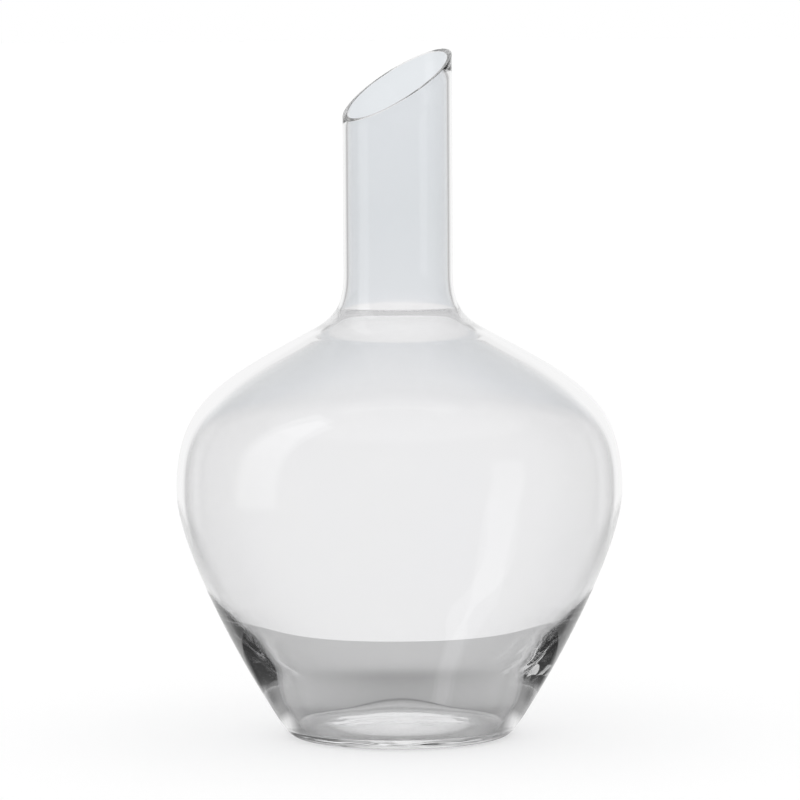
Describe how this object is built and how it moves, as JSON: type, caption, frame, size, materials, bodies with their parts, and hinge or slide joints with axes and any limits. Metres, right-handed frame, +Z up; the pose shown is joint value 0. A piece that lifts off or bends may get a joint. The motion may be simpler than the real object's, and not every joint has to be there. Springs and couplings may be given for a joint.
{
  "type": "wine decanter",
  "caption": "Clear glass wine decanter with a straight neck cut on a slant, a wide rounded bowl and a narrow heavy foot, for airing and pouring wine.",
  "frame": {"origin": "middle of the foot, on the surface that the decanter stands on", "axes": "+Z up along the axis of the bowl and neck, +X towards the high tip of the slanted lip"},
  "size_m": [0.1819, 0.182, 0.28],
  "materials": {
    "clear_glass": "clear polished crystal glass"
  },
  "bodies": {
    "root": {"base": "clear_glass", "heel": "clear_glass", "lower_bowl": "clear_glass", "belly": "clear_glass", "shoulder": "clear_glass", "neck_root": "clear_glass", "neck": "clear_glass", "lip": "clear_glass"}
  },
  "joints": []
}
